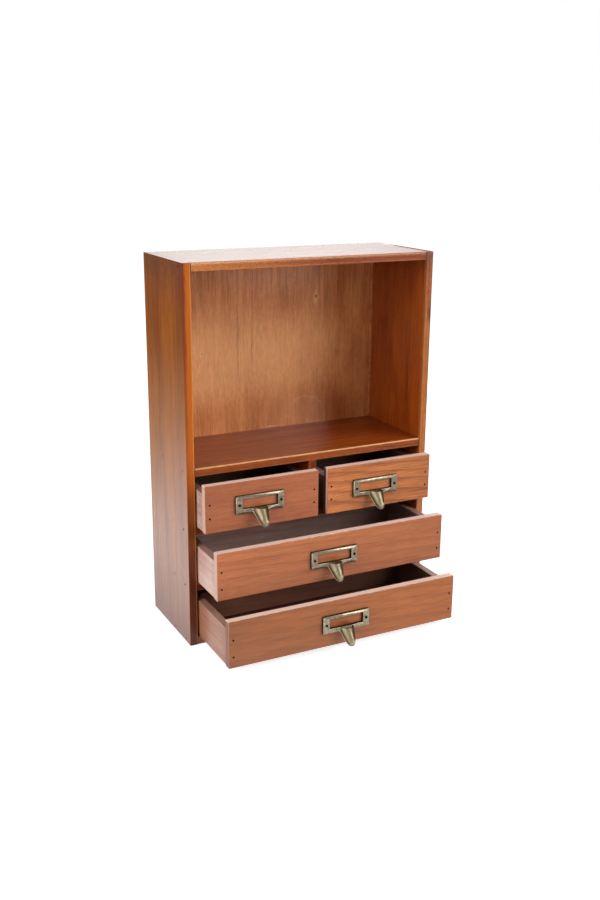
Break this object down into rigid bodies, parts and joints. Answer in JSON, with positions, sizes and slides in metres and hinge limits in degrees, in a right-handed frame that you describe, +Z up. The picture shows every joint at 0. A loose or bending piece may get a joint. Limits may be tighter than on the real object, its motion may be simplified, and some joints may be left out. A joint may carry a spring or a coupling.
{
  "type": "desktop mini drawers",
  "caption": "Narrow nailed wooden cabinet with an open upper compartment over small paired and wide drawers, each with a brass label holder and finger pull.",
  "frame": {"origin": "centre of the cabinet's underside, across the width and on the depth of the side boards", "axes": "+X to the right seen from the front, +Y from the drawer fronts to the back, +Z up"},
  "size_m": [0.25, 0.1853, 0.35],
  "materials": {
    "cabinet_wood": "stained and waxed pine, satin",
    "shelf_wood": "stained and waxed pine, satin",
    "panel_wood": "stained thin plywood, satin",
    "front_wood": "stained and waxed pine, satin",
    "drawer_wood": "lightly stained pine, matt",
    "floor_wood": "stained thin plywood, matt",
    "antique_brass": "antique brass, aged and partly polished",
    "nail_steel": "darkened steel"
  },
  "bodies": {
    "cabinet": {"left_side": "cabinet_wood", "right_side": "cabinet_wood", "top_board": "cabinet_wood", "bottom_board": "cabinet_wood", "shelf_board": "shelf_wood", "small_drawer_board": "shelf_wood", "wide_drawer_board": "shelf_wood", "drawer_divider": "shelf_wood", "back_panel": "panel_wood", "cabinet_nails": "nail_steel", "back_panel_nails": "nail_steel"},
    "small_left_drawer": {"small_left_front": "front_wood", "small_left_left_side": "drawer_wood", "small_left_right_side": "drawer_wood", "small_left_back": "drawer_wood", "small_left_bottom": "floor_wood", "small_left_label_holder": "antique_brass", "small_left_holder_pins": "nail_steel", "small_left_nails": "nail_steel"},
    "small_right_drawer": {"small_right_front": "front_wood", "small_right_left_side": "drawer_wood", "small_right_right_side": "drawer_wood", "small_right_back": "drawer_wood", "small_right_bottom": "floor_wood", "small_right_label_holder": "antique_brass", "small_right_holder_pins": "nail_steel", "small_right_nails": "nail_steel"},
    "upper_wide_drawer": {"upper_wide_front": "front_wood", "upper_wide_left_side": "drawer_wood", "upper_wide_right_side": "drawer_wood", "upper_wide_back": "drawer_wood", "upper_wide_bottom": "floor_wood", "upper_wide_label_holder": "antique_brass", "upper_wide_holder_pins": "nail_steel", "upper_wide_nails": "nail_steel"},
    "lower_wide_drawer": {"lower_wide_front": "front_wood", "lower_wide_left_side": "drawer_wood", "lower_wide_right_side": "drawer_wood", "lower_wide_back": "drawer_wood", "lower_wide_bottom": "floor_wood", "lower_wide_label_holder": "antique_brass", "lower_wide_holder_pins": "nail_steel", "lower_wide_nails": "nail_steel"}
  },
  "joints": [
    {"name": "small_left_slide", "type": "slide", "parent": "cabinet", "child": "small_left_drawer", "axis": [0, -1, 0], "range_m": [-0.021, 0.054]},
    {"name": "small_right_slide", "type": "slide", "parent": "cabinet", "child": "small_right_drawer", "axis": [0, -1, 0], "range_m": [-0.021, 0.054]},
    {"name": "upper_wide_slide", "type": "slide", "parent": "cabinet", "child": "upper_wide_drawer", "axis": [0, -1, 0], "range_m": [-0.046, 0.029]},
    {"name": "lower_wide_slide", "type": "slide", "parent": "cabinet", "child": "lower_wide_drawer", "axis": [0, -1, 0], "range_m": [-0.07, 0.005]}
  ]
}
